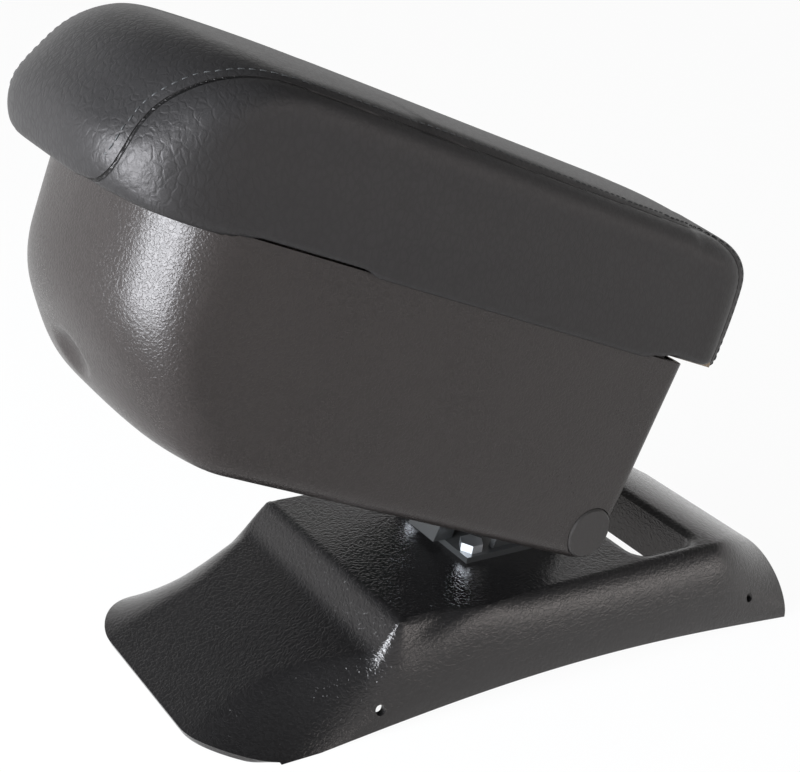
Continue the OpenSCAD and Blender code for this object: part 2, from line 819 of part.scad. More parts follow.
module screw(grip) {
    cylinder(d = screw_head_d, h = screw_head_t);
    translate([0, 0, -grip]) cylinder(d = screw_d, h = grip + eps);
}

module tray_screws() {
    color([0.15, 0.15, 0.15])
        arm_frame()
            for (y = [-tray_screw_y, tray_screw_y])
                translate([0, y, step_v + tray_wall]) screw(tray_wall + screw_grip - 0.5);
}

// Lid catch
module catch_magnet() {
    color([0.45, 0.45, 0.47])
        arm_frame() translate([magnet_u, 0, magnet_v - magnet_t]) cylinder(d = magnet_d, h = magnet_t);
}

module catch_plate() {
    color([0.7, 0.7, 0.72])
        arm_frame() translate([magnet_u, 0, lid_v - lining_t]) cylinder(d = magnet_d + 2, h = keeper_t);
}

// Lid hinge: three knuckles on the box's leaf, two on the lid's
knuckles = 5;
knuckle_len = hinge_len / knuckles;

module knuckle_row(first) {
    for (i = [first : 2 : knuckles - 1])
        translate([hinge_u, 0, hinge_v])
            rod(knuckle_d, -hinge_len / 2 + i * knuckle_len + knuckle_gap / 2,
                -hinge_len / 2 + (i + 1) * knuckle_len - knuckle_gap / 2);
}

module at_box_screws() {
    for (y = [-hinge_len / 2 + 10, 0, hinge_len / 2 - 10])
        translate([box_rear, y, hinge_v - leaf_h + 6]) children();
}

module at_lid_screws() {
    for (y = [-hinge_len / 2 + 10, 0, hinge_len / 2 - 10])
        translate([hinge_u + knuckle_d / 2 + 5, y, lid_v]) children();
}

module hinge_leaf_box() {
    color([0.2, 0.2, 0.21])
        arm_frame()
            difference() {
                union() {
                    translate([box_rear, -hinge_len / 2, hinge_v - leaf_h]) cube([leaf_t, hinge_len, leaf_h]);
                    for (i = [0 : 2 : knuckles - 1])
                        translate([box_rear, -hinge_len / 2 + i * knuckle_len + knuckle_gap / 2, hinge_v - leaf_t])
                            cube([hinge_u - box_rear, knuckle_len - knuckle_gap, leaf_t]);
                    knuckle_row(0);
                }
                translate([hinge_u, 0, hinge_v]) rod(hinge_pin_d, -hinge_len, hinge_len);
                at_box_screws() rotate([0, 90, 0]) translate([0, 0, -1]) cylinder(d = screw_d + 0.4, h = 10);
                lid_knuckle_room();
            }
}

// Room in the box's leaf for the lid's knuckles
module lid_knuckle_room() {
    for (i = [1 : 2 : knuckles - 1])
        translate([hinge_u, 0, hinge_v])
            rod(knuckle_d + 0.6, -hinge_len / 2 + i * knuckle_len - knuckle_gap / 2,
                -hinge_len / 2 + (i + 1) * knuckle_len + knuckle_gap / 2);
}

module hinge_leaf_lid() {
    color([0.2, 0.2, 0.21])
        arm_frame()
            difference() {
                union() {
                    translate([hinge_u + knuckle_d / 2 - 1, -hinge_len / 2 + knuckle_len + knuckle_gap / 2, lid_v - leaf_t])
                        cube([leaf_len, hinge_len - 2 * knuckle_len - knuckle_gap, leaf_t]);
                    translate([hinge_u + knuckle_d / 2 + 0.5, -hinge_len / 2, lid_v - leaf_t])
                        cube([leaf_len - 1.5, hinge_len, leaf_t]);
                    for (i = [1 : 2 : knuckles - 1])
                        translate([hinge_u, -hinge_len / 2 + i * knuckle_len + knuckle_gap / 2, lid_v - leaf_t])
                            cube([knuckle_d / 2, knuckle_len - knuckle_gap, leaf_t]);
                    knuckle_row(1);
                }
                translate([hinge_u, 0, hinge_v]) rod(hinge_pin_d + 2 * bore_gap, -hinge_len, hinge_len);
                at_lid_screws() translate([0, 0, -10]) cylinder(d = screw_d + 0.4, h = 20);
                box_knuckle_room();
            }
}

// Room in the lid's leaf for the box's knuckles
module box_knuckle_room() {
    for (i = [0 : 2 : knuckles - 1])
        translate([hinge_u, 0, hinge_v])
            rod(knuckle_d + 0.6, -hinge_len / 2 + i * knuckle_len - knuckle_gap / 2,
                -hinge_len / 2 + (i + 1) * knuckle_len + knuckle_gap / 2);
}

module hinge_pin() {
    color([0.7, 0.7, 0.72])
        arm_frame() translate([hinge_u, 0, hinge_v]) rod(hinge_pin_d, -hinge_len / 2 - 0.5, hinge_len / 2 + 0.5);
}

module hinge_screws_box() {
    color([0.7, 0.7, 0.72])
        arm_frame() at_box_screws() translate([leaf_t, 0, 0]) rotate([0, 90, 0]) screw(leaf_t + box_wall);
}

module hinge_screws_lid() {
    color([0.7, 0.7, 0.72])
        arm_frame() at_lid_screws() translate([0, 0, -leaf_t]) rotate([180, 0, 0]) screw(leaf_t + cover_t + board_t);
}

// Lid board, foam and lining
module slab(from, to) {
    translate([-big, -big, from]) cube([2 * big, 2 * big, to - from]);
}

module at_lining_screws() {
    for (reach = lining_screw_reach)
        for (side = [-1, 1])
            translate([-reach * lid_front, side * (lid_w / 2 - lining_screw_in), lid_v - lining_t]) children();
}

module lid_board() {
    color([0.2, 0.2, 0.2])
        arm_frame()
            difference() {
                intersection() {
                    lid_body(cover_t);
                    slab(lid_v + cover_t, lid_v + cover_t + board_t);
                }
                at_lining_screws() cylinder(d = screw_d, h = 30);
                at_lid_screws() cylinder(d = screw_d, h = 30);
            }
}

module lid_foam() {
    color([0.75, 0.72, 0.5])
        arm_frame()
            intersection() {
                lid_body(cover_t);
                slab(lid_v + cover_t + board_t, big / 2);
            }
}

module lining_form(t) {
    inset = box_setback + box_wall + tray_gap + tray_wall + 1.5;
    front_room = 12;
    plan_prism(outline([
        [box_f + front_room, -lid_w / 2 + inset, box_front_r - 6],
        [box_rear + box_setback - inset, -lid_w / 2 + inset, box_rear_r - 4],
        [box_rear + box_setback - inset, lid_w / 2 - inset, box_rear_r - 4],
        [box_f + front_room, lid_w / 2 - inset, box_front_r - 6]], t), lid_v - lining_t, lid_v);
}

module lid_lining() {
    color([0.13, 0.13, 0.14])
        arm_frame()
            difference() {
                lining_form(0);
                at_lining_screws() translate([0, 0, -1]) cylinder(d = screw_d + 0.4, h = lining_t + 2);
                translate([magnet_u, 0, lid_v - lining_t - 1]) cylinder(d = magnet_d + 2, h = keeper_t + 1);
            }
}

module lining_screws() {
    color([0.15, 0.15, 0.15])
        arm_frame() at_lining_screws() rotate([180, 0, 0]) screw(lining_t + cover_t + board_t);
}

// Cover: shell around the foam and board, with its hem turned under
module cover() {
    difference() {
        lid_body(0);
        lid_body(cover_t);
        intersection() {
            plan_prism(outline(lid_plan(), hem_w), lid_v - 1, lid_v + cover_t + 1);
            slab(lid_v - 1, lid_v + cover_t + eps);
        }
        at_lid_screws() translate([0, 0, -1]) cylinder(d = screw_d, h = cover_t + 2);
    }
}

// A side panel reaches this far in from the lid's side
seam_reach = 40;

// Side view of a side panel: the seam runs under the top edge and turns down at both ends
function seam_side() = [
    [-lid_front + 10, lid_v - 5, 0],
    [lid_rear - 12, lid_v - 5, 0],
    [lid_rear - 21, lid_v + lid_h - seam_drop, seam_tail_r],
    [-lid_front + 10, lid_v + lid_h - lid_fall - seam_drop, seam_nose_r]];

module side_region(side) {
    mirror([0, side, 0])
        intersection() {
            side_prism(outline(seam_side(), 0), lid_w);
            translate([-big, lid_w / 2 - seam_reach, 0]) cube([2 * big, big, big]);
        }
}

module cover_centre() {
    color([0.08, 0.08, 0.085])
        arm_frame()
            difference() {
                cover();
                side_region(0);
                side_region(1);
            }
}

module cover_side(side) {
    color([0.1, 0.1, 0.105])
        arm_frame()
            intersection() {
                cover();
                side_region(side);
            }
}

module cover_side_left() {
    cover_side(0);
}

module cover_side_right() {
    cover_side(1);
}

base_plate();
bracket();
bracket_bolts();
bracket_nuts();
backing_plate();
rest_buffer();
pivot_shaft();
disc_springs();
plain_washers();
outer_washers();
lock_nuts();
bush_left();
bush_right();
box_shell();
cap_left();
cap_right();
tray();
tray_screws();
catch_magnet();
catch_plate();
hinge_leaf_box();
hinge_leaf_lid();
hinge_pin();
hinge_screws_box();
hinge_screws_lid();
lid_board();
lid_foam();
cover_centre();
cover_side_left();
cover_side_right();
lid_lining();
lining_screws();
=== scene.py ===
# %% [markdown]
# # Car centre armrest
# A padded lid sits on a storage box, and the box tilts on a shaft above a moulded base plate.
# The construction is loaded first. What can be seen of it is then dressed here: the lid gets its
# stretched cover with seams and stitches, the box and the base plate get smooth moulded skins, and
# everything else keeps its shape and gets a finish.

# %% Load the frame
import json
import math

import bpy
import bmesh
import numpy as np
from mathutils import Matrix, Vector


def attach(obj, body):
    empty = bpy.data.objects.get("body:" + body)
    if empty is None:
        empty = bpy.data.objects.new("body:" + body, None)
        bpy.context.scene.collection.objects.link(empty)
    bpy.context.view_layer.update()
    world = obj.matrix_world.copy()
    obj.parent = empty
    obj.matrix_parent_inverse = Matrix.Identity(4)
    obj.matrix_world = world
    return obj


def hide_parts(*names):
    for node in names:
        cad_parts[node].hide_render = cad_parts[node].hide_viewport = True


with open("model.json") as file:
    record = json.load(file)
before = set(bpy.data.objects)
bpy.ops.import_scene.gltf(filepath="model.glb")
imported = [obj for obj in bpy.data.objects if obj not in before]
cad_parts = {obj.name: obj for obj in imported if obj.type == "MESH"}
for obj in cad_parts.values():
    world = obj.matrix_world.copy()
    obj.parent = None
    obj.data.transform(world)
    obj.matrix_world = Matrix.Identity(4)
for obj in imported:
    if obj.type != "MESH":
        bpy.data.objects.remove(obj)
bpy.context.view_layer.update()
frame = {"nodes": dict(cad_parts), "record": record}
nodes = frame["nodes"]
print("loaded", len(nodes), "pieces of the construction")

# %% [markdown]
# ## The camera
# The photograph looks down on the armrest from the front and from its near side. The place, the
# turn and the lens were worked out from the round pivot cap and from the edges that run across the
# object, so an outline drawn here falls on the outline in the photograph. A matrix with the three
# axes of the camera as its columns is the plainest way to place it.

# %% Camera
eye = Vector((-0.38230, -0.46461, 0.37293))
axes = ((0.81614, -0.56146, 0.13613), (0.11768, 0.39238, 0.91223), (-0.56572, -0.72856, 0.38639))
camera = bpy.data.objects.new("camera", bpy.data.cameras.new("camera"))
bpy.context.scene.collection.objects.link(camera)
turn = Matrix(axes).transposed().to_4x4()
turn.translation = eye
camera.matrix_world = turn
camera.data.sensor_width = 36
camera.data.sensor_fit = "HORIZONTAL"
camera.data.lens = 65.93
camera.data.clip_start, camera.data.clip_end = 0.02, 50
bpy.context.scene.camera = camera
print("camera at", [round(c, 3) for c in eye])

# %% [markdown]
# ## Formulas for finishes
# A finish is a tree of shader nodes. Trees are easier to read as formulas, so a small class wraps a
# socket and lets it be added, subtracted and multiplied like a number. One method makes any other
# node from its type, its settings and the values of its sockets.

# %% Sockets that calculate
class Wire:
    """A value in a shader tree: + - * and their reflected forms each add one Math node."""

    def __init__(self, finish, socket):
        self.finish, self.socket = finish, socket

    def _sum(self, operation, a, b):
        return self.finish.node("ShaderNodeMath", {"operation": operation}, [a, b])

    def __add__(self, other):
        return self._sum("ADD", self, other)

    def __sub__(self, other):
        return self._sum("SUBTRACT", self, other)

    def __rsub__(self, other):
        return self._sum("SUBTRACT", other, self)

    def __mul__(self, other):
        return self._sum("MULTIPLY", self, other)

    __radd__, __rmul__ = __add__, __mul__


class Finish:
    """A material whose tree is built from calls and formulas. Constants go on the shader's own sockets."""

    def __init__(self, name, **constants):
        self.material = bpy.data.materials.new(name)
        self.material.use_nodes = True
        self.tree = self.material.node_tree
        self.shader = self.tree.nodes["Principled BSDF"]
        for socket, value in constants.items():
            self.shader.inputs[socket.replace("_", " ")].default_value = value

    def node(self, kind, settings=(), inputs=(), out=0):
        """A node of any type: settings first, then the values or links of its sockets."""
        made = self.tree.nodes.new(kind)
        for key, value in dict(settings).items():
            setattr(made, key, value)
        pairs = inputs.items() if isinstance(inputs, dict) else enumerate(inputs)
        for key, value in pairs:
            if isinstance(value, Wire):
                self.tree.links.new(value.socket, made.inputs[key])
            else:
                made.inputs[key].default_value = value
        return Wire(self, made.outputs[out])

    def place(self):
        """Place on the object, in metres."""
        return self.node("ShaderNodeTexCoord", out="Object")

    def attribute(self, name):
        """A number that is stored on the mesh."""
        return self.node("ShaderNodeAttribute", {"attribute_name": name}, out="Fac")

    def noise(self, size, detail=2.0, roughness=0.5, at=None, distortion=0.0):
        """Soft random value between 0 and 1 whose spots are about size metres apart."""
        inputs = {"Vector": at or self.place(), "Scale": 1 / size, "Detail": detail,
                  "Roughness": roughness, "Distortion": distortion}
        return self.node("ShaderNodeTexNoise", inputs=inputs)

    def cells(self, size, at):
        """Distance to the edges between cells about size metres wide."""
        inputs = {"Vector": at, "Scale": 1 / size}
        return self.node("ShaderNodeTexVoronoi", {"feature": "DISTANCE_TO_EDGE"}, inputs, out="Distance")

    def between(self, value, low, high):
        """Rises smoothly from 0 to 1 while the value goes from low to high."""
        inputs = {"Value": value, "From Min": low, "From Max": high}
        return self.node("ShaderNodeMapRange", {"interpolation_type": "SMOOTHSTEP"}, inputs)

    def shade(self, factor, dark, light):
        """Colour between dark and light by the factor."""
        made = self.tree.nodes.new("ShaderNodeMix")
        made.data_type = "RGBA"
        for index, value in ((0, factor), (6, dark), (7, light)):
            if isinstance(value, Wire):
                self.tree.links.new(value.socket, made.inputs[index])
            else:
                made.inputs[index].default_value = value if index == 0 else (*value[:3], 1)
        return Wire(self, made.outputs[2])

    def relief(self, height, depth, strength=1.0, over=None):
        """Bump of a height between 0 and 1 that stands depth metres high."""
        inputs = {"Height": height, "Strength": strength, "Distance": depth}
        if over is not None:
            inputs["Normal"] = over
        return self.node("ShaderNodeBump", inputs=inputs)

    def feed(self, **wires):
        """Links wires to the shader's sockets and gives the finished material."""
        for socket, wire in wires.items():
            self.tree.links.new(wire.socket, self.shader.inputs[socket.replace("_", " ")])
        return self.material


finishes = {}
print("formula helpers ready")

# %% [markdown]
# ## The cover's leather look
# The lid is covered in black vinyl with a shallow leather grain. Two textures of cells are warped
# by a noise: the edges of the larger, upright cells make the creases, and small cells make the
# pebbles. The colour is a random tone, with painted shade darkening the crease lines. Two numbers
# stored on the mesh steer them: the distance to the seam, which draws the seam's groove, filled with
# painted shade, and the small puckers beside it, and the pull round the nose, which deepens the
# creases there.

# %% Leather finish
def leather(name, tint, crease_share):
    """Height = creases (0.1 + share x pull) + pebbles + drift + puckers; groove = 0 in the seam, 1 off it."""
    f = Finish(name, IOR=1.5, Specular_IOR_Level=0.26, Specular_Tint=(1.0, 0.92, 0.90, 1.0))
    warp = f.node("ShaderNodeTexNoise", {}, {"Vector": f.place(), "Scale": 260.0, "Detail": 2.0}, out="Color")
    warp_reach = (0.0030, 0.0030, 0.0030)
    warped = f.node("ShaderNodeVectorMath", {"operation": "MULTIPLY_ADD"}, [warp, warp_reach, f.place()])
    upright = f.node("ShaderNodeMapping", {},
                     {"Vector": warped, "Rotation": (0, 0.31, 0), "Scale": (1.0, 1.0, 0.62)})
    creases = f.between(f.cells(0.0029, upright), 0.0, 0.24)
    pebbles = f.between(f.cells(0.0012, warped), 0.0, 0.22)
    drift = f.noise(0.012, 2, 0.5)
    fine = f.noise(0.0005, 1, 0.5)
    seam = f.attribute("seam")
    pull = f.attribute("pull")
    groove = f.between(seam, 0.00030, 0.00080)
    pucker = f.noise(0.0019, 1, 0.5) * f.between(seam, 0.0045, 0.0006)
    height = creases * (pull * crease_share + 0.10) + pebbles * 0.20 + fine * 0.12 + drift * 0.4 + pucker * 0.4
    skin = f.relief(height, 0.00008)
    cut = f.relief(groove, 0.0008, over=skin)
    # Colour: a random drift tone, plus painted shade that darkens the crease lines to three quarters.
    shade = f.shade(drift * 0.5 + creases * 0.5, tuple(c * 0.75 for c in tint), tint)
    # Painted shade: the seam's groove is filled with near-black to stand in for its shadow.
    colour = f.shade(groove, (0.002, 0.002, 0.002), shade)
    rough = 0.46 - creases * 0.04 + fine * 0.05 - pull * 0.04
    return f.feed(Base_Color=colour, Roughness=rough, Normal=cut)


finishes["cover"] = leather("cover leather", (0.016, 0.015, 0.015), 0.75)
print("cover finish made")

# %% [markdown]
# ## Moulded plastics
# The box and the base plate are injection moulded from black plastic. The box has a fine worm-like
# grain and a satin surface. The base plate is glossier and its grain is a little coarser, so that
# each grain catches its own small light. Both are a noise, pushed through a steep ramp so that it
# breaks into raised islands. Roughness changes a little with the islands and with a slow noise; the
# colour is a random tone from the slow noise, with painted light on the raised islands and painted
# shade on the low ground between them.

# %% Grained plastic
def moulded(name, tint, grain, depth, rough, gloss=0.5, sparkle=0.0):
    """Islands = steep ramp of a distorted noise; roughness varies by a slow noise and the islands."""
    f = Finish(name, IOR=1.5, Specular_IOR_Level=gloss, Specular_Tint=(1.0, 0.94, 0.92, 1.0))
    worm = f.between(f.noise(grain, 1, 0.4, distortion=0.7), 0.38, 0.62)
    fine = f.noise(grain * 0.35, 1, 0.5)
    slow = f.noise(0.045, 3, 0.55)
    bump = f.relief(worm * 0.75 + fine * (0.25 + sparkle), depth)
    # Colour: random tone from the slow noise, plus painted light and shade, lighter on the raised islands and
    # darker on the low ground between them.
    dark, light = tuple(c * 0.75 for c in tint), tuple(c * 1.2 for c in tint)
    colour = f.shade(worm * 0.5 + slow * 0.5, dark, light)
    return f.feed(Base_Color=colour, Roughness=rough + slow * 0.10 - worm * 0.05, Normal=bump)


finishes["box_plastic"] = moulded("box plastic", (0.018, 0.015, 0.014), 0.0010, 0.00007, 0.28, gloss=0.31)
finishes["base_plastic"] = moulded("base plastic", (0.008, 0.0075, 0.0075), 0.0014, 0.00009, 0.15,
                                   gloss=0.46, sparkle=0.6)
finishes["cap_plastic"] = moulded("cap plastic", (0.022, 0.020, 0.019), 0.0007, 0.00002, 0.38, gloss=0.3)
finishes["tray_plastic"] = moulded("tray plastic", (0.022, 0.022, 0.023), 0.0009, 0.00008, 0.5)
finishes["lining"] = moulded("lining plastic", (0.026, 0.026, 0.027), 0.0012, 0.00012, 0.48)
finishes["bush_plastic"] = moulded("bush plastic", (0.72, 0.70, 0.62), 0.0020, 0.00002, 0.38)
finishes["buffer_rubber"] = moulded("buffer rubber", (0.018, 0.018, 0.018), 0.0006, 0.00006, 0.75)
print("plastic finishes made")

# %% [markdown]
# ## Metals, board and thread
# The bracket is powder coated steel, the fasteners are zinc plated, the springs are bare steel and
# the board in the lid is pressed fibre. Metal parts get a slow change in roughness and faint
# machining lines, and the board gets flecks.

# %% Metals and the rest
def metal(name, tint, rough):
    """Roughness = rough + slow noise; relief of fine noise stretched along Y by a Mapping node."""
    f = Finish(name, Metallic=1.0)
    lines = f.node("ShaderNodeMapping", {}, {"Vector": f.place(), "Scale": (1.0, 0.12, 1.0)})
    fine = f.noise(0.0005, 2, 0.6, at=lines)
    slow = f.noise(0.004, 3, 0.6)
    colour = f.shade(slow, tuple(c * 0.8 for c in tint), tint)
    return f.feed(Base_Color=colour, Roughness=rough + slow * 0.16 - 0.05, Normal=f.relief(fine, 0.00002, 0.6))


def painted(name, tint, rough):
    """One colour, a fifth darker in places, with an orange-peel relief."""
    f = Finish(name)
    peel = f.noise(0.0012, 2, 0.5)
    slow = f.noise(0.02, 2, 0.5)
    return f.feed(Base_Color=f.shade(slow, tuple(c * 0.8 for c in tint), tint),
                  Roughness=rough + slow * 0.08, Normal=f.relief(peel, 0.00005, 0.7))


finishes["bracket_black"] = painted("bracket coat", (0.022, 0.022, 0.022), 0.32)
finishes["zinc"] = metal("zinc plate", (0.55, 0.56, 0.58), 0.38)
finishes["spring_steel"] = metal("spring steel", (0.50, 0.49, 0.48), 0.36)
finishes["hinge_steel"] = metal("hinge steel", (0.32, 0.32, 0.33), 0.42)
finishes["magnet"] = metal("magnet", (0.42, 0.42, 0.43), 0.34)
finishes["black_screws"] = painted("screw black", (0.030, 0.030, 0.030), 0.30)
board = Finish("fibre board")
fleck = board.noise(0.0018, 4, 0.7, distortion=0.8)
board.feed(Base_Color=board.shade(fleck, (0.10, 0.07, 0.045), (0.24, 0.18, 0.12)),
           Roughness=0.72 + fleck * 0.15, Normal=board.relief(fleck, 0.0001, 0.6))
finishes["lid_board"] = board.material
thread = Finish("black thread")
twist = thread.noise(0.0003, 2, 0.6)
thread.feed(Base_Color=thread.shade(twist, (0.008, 0.008, 0.008), (0.030, 0.030, 0.030)),
            Roughness=0.45 + twist * 0.2, Normal=thread.relief(twist, 0.00008, 0.8))
finishes["thread"] = thread.material
finishes["foam"] = painted("foam", (0.60, 0.55, 0.35), 0.9)
slot_of = {row["node"]: row["material_slot"] for row in frame["record"]["subparts"]}
print("finishes:", sorted(finishes))

# %% [markdown]
# ## Shapes from outlines
# The lid and the box were drawn as the space that several rounded outlines share: one from the
# side, one from the end, one from above, and a dome that rounds the front off. Cut that way, the
# outlines would meet in creases. Here each outline is turned into a distance, and the distances
# are joined by a maximum with a rounded corner. A grid on a plain crate around the shape is
# then pulled in along straight lines until it meets the surface.

# %% Outlines and distances
PIVOT_X, PIVOT_Z = 48.5, 72
PITCH_COS, PITCH_SIN = math.cos(math.radians(18)), math.sin(math.radians(18))


def arm(u, y, v):
    """Lid and box frame in mm, pitched 18 degrees about the pivot, to the shared frame in m."""
    x = PIVOT_X + u * PITCH_COS + v * PITCH_SIN
    z = PIVOT_Z - u * PITCH_SIN + v * PITCH_COS
    return np.stack([x, y + 0.0 * u, z], -1) / 1000


def rounded(corners, steps=12):
    """Anticlockwise convex outline: each corner [x, y, r] is an arc of radius r that touches both edges."""
    p = np.array(corners, float)
    before, after = np.roll(p, 1, 0), np.roll(p, -1, 0)
    a = p[:, :2] - before[:, :2]
    b = after[:, :2] - p[:, :2]
    a /= np.linalg.norm(a, axis=1)[:, None]
    b /= np.linalg.norm(b, axis=1)[:, None]
    m = np.stack([-a[:, 1], a[:, 0]], 1)
    n = np.stack([-b[:, 1], b[:, 0]], 1)
    centre = p[:, :2] + (m + n) * (p[:, 2] / (1 + (m * n).sum(1)))[:, None]
    start = np.arctan2(-m[:, 1], -m[:, 0])
    sweep = (np.arctan2(-n[:, 1], -n[:, 0]) - start) % (2 * np.pi)
    angle = start[:, None] + sweep[:, None] * np.linspace(0, 1, steps)
    arc = centre[:, None] + p[:, 2, None, None] * np.stack([np.cos(angle), np.sin(angle)], -1)
    return arc.reshape(-1, 2)


def planes(outline):
    """Outward normal and offset of every edge, so that the greatest n.p - h is below 0 inside."""
    e = np.roll(outline, -1, 0) - outline
    length = np.hypot(e[:, 0], e[:, 1])
    keep = length > 1e-6
    n = np.stack([e[:, 1], -e[:, 0]], 1)[keep] / length[keep, None]
    return n, (n * outline[keep]).sum(1)


def depth(edges, a, b):
    """Signed distance from the outline, in mm, below 0 inside."""
    n, h = edges
    flat = np.stack([np.ravel(a), np.ravel(b)], 1)
    return (flat @ n.T - h).max(1).reshape(np.shape(a))


def joined(a, b, k):
    """Maximum of a and b, rounded over k mm: max(a, b) + k h h / 4 with h = 1 - |a - b| / k."""
    h = np.clip(1 - np.abs(a - b) / k, 0, 1)
    return np.maximum(a, b) + k * h * h / 4


print("outline helpers ready")

# %% [markdown]
# ## From a crate to a mesh
# Faces of the crate share the points where they meet, so the pulled skin is closed and has no pole.
# Each point travels on the line from the nearest point of a core inside the form.

# %% The crate and the pull
def crate(low, high, step, top=True):
    """Grid points on the faces of a box, merged where faces meet, and the quads between them."""
    low, high = np.array(low, float), np.array(high, float)
    count = np.maximum(2, np.round((high - low) / step).astype(int))
    points, quads, first = [], [], 0
    for axis in range(3):
        i, j = (axis + 1) % 3, (axis + 2) % 3
        for end in (0, 1):
            if axis == 2 and end == 1 and not top:
                continue
            a, b = np.meshgrid(np.arange(count[i] + 1), np.arange(count[j] + 1), indexing="ij")
            grid = np.zeros(a.shape + (3,))
            grid[..., i] = a / count[i]
            grid[..., j] = b / count[j]
            grid[..., axis] = end
            k = first + np.arange(a.size).reshape(a.shape)
            around = [k[:-1, :-1], k[1:, :-1], k[1:, 1:], k[:-1, 1:]]
            face = np.stack(around if end else around[::-1], -1).reshape(-1, 4)
            points.append(grid.reshape(-1, 3))
            quads.append(face)
            first += a.size
    points = np.concatenate(points)
    key = np.round(points * 1e6).astype(np.int64)
    _, pick, back = np.unique(key, axis=0, return_index=True, return_inverse=True)
    return low + points[pick] * (high - low), back.ravel()[np.concatenate(quads)]


def pulled(form, grid, core_low, core_high, reach=1.7):
    """Zero of form on the line from the nearest core point through each grid point, by 30 halvings."""
    core = np.clip(grid, core_low, core_high)
    ray = grid - core
    near, far = np.zeros(len(grid)), np.full(len(grid), reach)
    for _ in range(30):
        mid = (near + far) / 2
        p = core + ray * mid[:, None]
        inside = form(p[:, 0], p[:, 1], p[:, 2]) < 0
        near, far = np.where(inside, mid, near), np.where(inside, far, mid)
    return core + ray * near[:, None]


def piece(name, points, faces, finish, smooth=35):
    """A mesh object from points in metres; edges sharper than smooth degrees stay crisp."""
    mesh = bpy.data.meshes.new(name)
    mesh.from_pydata(np.asarray(points).tolist(), [], np.asarray(faces).tolist())
    mesh.materials.append(finishes[finish])
    made = bpy.data.objects.new(name, mesh)
    bpy.context.scene.collection.objects.link(made)
    mesh.shade_smooth()
    mesh.set_sharp_from_angle(angle=math.radians(smooth))
    return made


def settle(obj):
    """Puts what the modifiers make into the mesh itself, so that none is left."""
    view = bpy.context.evaluated_depsgraph_get()
    shown = obj.evaluated_get(view)
    made = bpy.data.meshes.new_from_object(shown, preserve_all_data_layers=True, depsgraph=view)
    obj.modifiers.clear()
    obj.data = made


def coords(mesh, normals=False):
    """Vertices, or their normals, as one array."""
    block = np.empty(len(mesh.vertices) * 3, np.float32)
    if normals:
        mesh.vertex_normals.foreach_get("vector", block)
    else:
        mesh.vertices.foreach_get("co", block)
    return block.reshape(-1, 3).astype(float)


print("crate helpers ready")

# %% [markdown]
# ## The lid
# The lid is a foam pad under a sewn cover: one centre panel runs over the top and down the nose,
# and a side panel closes each side. It is a closed crowned form. It is wrapped from the outlines
# and made finer once. The seams come after that, because a seam is narrower than the first grid.

# %% Lid form
LID_SIDE = planes(rounded([[-278, 85, 5], [43, 85, 5], [29, 147, 34], [-268, 142, 30], [-287, 102, 22]]))
LID_ACROSS = planes(rounded([[-64.3, 84.6, 3], [64.3, 84.6, 3], [65.3, 103, 30], [63.5, 141, 13],
                             [0, 148, 180], [-63.5, 141, 13], [-65, 103, 30]]))
LID_PLAN = planes(rounded([[-284, -65, 46], [43, -65, 26], [43, 65, 26], [-284, 65, 46], [-287, 0, 60]]))
LID_NOSE = planes(rounded([[-40, 85, 0.01], [104, 85, 5], [111, 97, 12], [92, 137.5, 42], [-40, 158.3, 0.01]]))
LID_TAIL = planes(rounded([[-40, 85, 0.01], [77, 85, 3], [68.5, 141, 20], [-40, 155.3, 0.01]]))


def lid_form(u, y, v):
    """Rounded maximum of side, end and plan outlines, a nose dome about u = -177 and a tail dome about -10."""
    shape = joined(depth(LID_SIDE, u, v), depth(LID_ACROSS, y, v), 3)
    shape = joined(shape, depth(LID_PLAN, u, y), 4)
    nose = np.minimum(depth(LID_NOSE, np.hypot(u + 177, y), v), -177 - u)
    tail = np.minimum(depth(LID_TAIL, np.hypot(u + 10, y), v), u + 10)
    return joined(joined(shape, nose, 6), tail, 6)


grid, quads = crate((-290, -68, 82), (46, 68, 150), 3.4)
lid_points = pulled(lid_form, grid, (-235, -30, 108), (0, 30, 112))
lid = piece("lid_cover", arm(*lid_points.T), quads, "cover", 80)
lid.modifiers.new("finer", "SUBSURF").levels = 1
lid.modifiers["finer"].render_levels = 1
settle(lid)
print("lid cover:", len(lid.data.vertices), "points")

# %% [markdown]
# ## The seam
# Seen from the side, the seam is a line that runs just under the top edge and turns down in a
# wide bend at both ends. The distance from that line is known in the side view; divided by how fast
# it changes along the surface, it becomes the distance on the cover itself. It presses a soft
# valley into the mesh with a slight swell beside it, and is stored for the finish to draw the crisp
# groove, bumped in and filled with painted shade. Where the cover stands past the box, its lower edge
# is let down as a lip over the rim.

# %% Seam distance, valley and lip
SEAM_LINE = [[-273, 60, 0.01], [31, 60, 0.01], [22, 142, 26], [-278, 136, 46]]
SEAM = planes(rounded(SEAM_LINE, 24))
SEAM_END = 24
BOX_PLAN = planes(rounded([[-259, -62, 38], [14.5, -62, 9], [14.5, 62, 9], [-259, 62, 38], [-263, 0, 60]]))
VALLEY, SWELL, LIP = 0.45, 0.3, 4.4


def pitched_back(x, z):
    """Turns the shared frame's X and Z into the lid and box frame's U and V."""
    return x * PITCH_COS - z * PITCH_SIN, x * PITCH_SIN + z * PITCH_COS


def seam_distance(u, v, tilt_u, tilt_v):
    """Side-view distance over the share of its slope that lies in the surface: d / sqrt(1 - (g.n)^2)."""
    d = depth(SEAM, u, v)
    gu = depth(SEAM, u + 0.5, v) - depth(SEAM, u - 0.5, v)
    gv = depth(SEAM, u, v + 0.5) - depth(SEAM, u, v - 0.5)
    along = gu * tilt_u + gv * tilt_v
    return d / np.sqrt(np.maximum(1 - along * along, 0.12))


